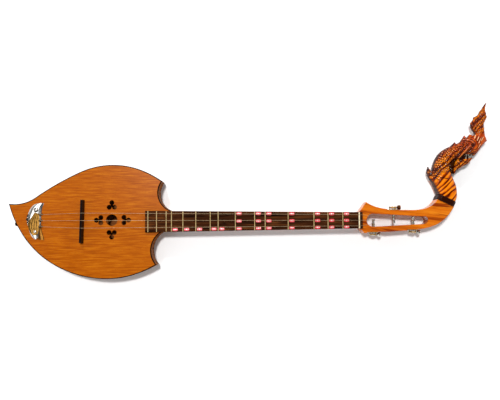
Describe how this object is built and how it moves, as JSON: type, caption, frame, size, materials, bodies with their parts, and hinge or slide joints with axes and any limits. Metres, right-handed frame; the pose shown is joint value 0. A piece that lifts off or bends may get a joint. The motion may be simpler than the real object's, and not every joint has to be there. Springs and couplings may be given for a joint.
{
  "type": "three-string fretted lute",
  "caption": "Long-necked fretted lute with a leaf-shaped horned body, slotted peghead with worm-gear tuners and a carved crested serpent finial, lying on its back.",
  "frame": {"origin": "on the flat back face, beneath the bridge's neck side and on the neck's centreline", "axes": "+X along the neck towards the head, +Z out of the soundboard, +Y to the side that the finial rises on"},
  "size_m": [1.0558, 0.3847, 0.0581],
  "materials": {
    "carved_wood": "semi-gloss varnish over light hardwood",
    "soundboard_wood": "amber varnished softwood with straight fine grain",
    "edging_wood": "dark stained edging",
    "brace_wood": "bare",
    "board_wood": "oiled dark hardwood with red-brown streaks",
    "neck_wood": "semi-gloss varnish",
    "head_wood": "glossy lacquer over streaked orange wood",
    "collar_wood": "polished black hardwood",
    "carving_wood": "glossy lacquer over zebra-striped orange wood",
    "ebony": "polished",
    "nut_bone": "satin bone",
    "fret_brass": "polished",
    "sticker_red": "glossy",
    "tail_chrome": "bright plated",
    "screw_steel": "plated",
    "string_steel": "plain drawn wire",
    "machine_plate": "plated and slightly worn",
    "machine_chrome": "bright plated",
    "gear_brass": "machined"
  },
  "bodies": {
    "instrument": {"body_shell": "carved_wood", "soundboard": "soundboard_wood", "edge_binding": "edging_wood", "brace_lower": "brace_wood", "brace_upper": "brace_wood", "strap_button": "ebony", "strap_screw": "screw_steel", "neck": "neck_wood", "fretboard": "board_wood", "nut": "nut_bone", "fret_markers": "sticker_red", "peghead": "head_wood", "collar_band": "collar_wood", "naga_head": "carving_wood", "bridge": "ebony", "tailpiece": "tail_chrome", "tailpiece_screws": "screw_steel", "fret_01": "fret_brass", "fret_02": "fret_brass", "fret_03": "fret_brass", "fret_04": "fret_brass", "fret_05": "fret_brass", "fret_06": "fret_brass", "fret_07": "fret_brass", "fret_08": "fret_brass", "fret_09": "fret_brass", "fret_10": "fret_brass", "fret_11": "fret_brass", "fret_12": "fret_brass", "fret_13": "fret_brass", "fret_14": "fret_brass", "fret_15": "fret_brass", "string_1": "string_steel", "string_2": "string_steel", "string_3": "string_steel", "tuner_plate_1": "machine_plate", "tuner_screws_1": "screw_steel", "tuner_plate_2": "machine_plate", "tuner_screws_2": "screw_steel", "tuner_plate_3": "machine_plate", "tuner_screws_3": "screw_steel"},
    "post_turn_1": {"post_1": "machine_chrome", "gear_1": "gear_brass", "gear_screw_1": "screw_steel", "winding_1": "string_steel"},
    "worm_turn_1": {"worm_1": "screw_steel", "button_1": "machine_chrome"},
    "post_turn_2": {"post_2": "machine_chrome", "gear_2": "gear_brass", "gear_screw_2": "screw_steel", "winding_2": "string_steel"},
    "worm_turn_2": {"worm_2": "screw_steel", "button_2": "machine_chrome"},
    "post_turn_3": {"post_3": "machine_chrome", "gear_3": "gear_brass", "gear_screw_3": "screw_steel", "winding_3": "string_steel"},
    "worm_turn_3": {"worm_3": "screw_steel", "button_3": "machine_chrome"}
  },
  "joints": [
    {"name": "post_spin_1", "type": "hinge", "parent": "instrument", "child": "post_turn_1", "pos_m": [0.6323, -0.0252, 0.0355], "axis": [0, 1, 0], "continuous": true},
    {"name": "worm_spin_1", "type": "hinge", "parent": "instrument", "child": "worm_turn_1", "pos_m": [0.6323, -0.0311, 0.02806], "axis": [1, 0, 0], "continuous": true},
    {"name": "post_spin_2", "type": "hinge", "parent": "instrument", "child": "post_turn_2", "pos_m": [0.677, 0.022, 0.0355], "axis": [0, 1, 0], "continuous": true},
    {"name": "worm_spin_2", "type": "hinge", "parent": "instrument", "child": "worm_turn_2", "pos_m": [0.677, 0.0279, 0.02806], "axis": [1, 0, 0], "continuous": true},
    {"name": "post_spin_3", "type": "hinge", "parent": "instrument", "child": "post_turn_3", "pos_m": [0.7193, -0.0204, 0.0355], "axis": [0, 1, 0], "continuous": true},
    {"name": "worm_spin_3", "type": "hinge", "parent": "instrument", "child": "worm_turn_3", "pos_m": [0.7193, -0.0263, 0.02806], "axis": [1, 0, 0], "continuous": true}
  ],
  "couplings": [
    {"joint": "post_spin_1", "follows": "worm_spin_1", "ratio": 0.071429},
    {"joint": "post_spin_2", "follows": "worm_spin_2", "ratio": 0.071429},
    {"joint": "post_spin_3", "follows": "worm_spin_3", "ratio": 0.071429}
  ]
}
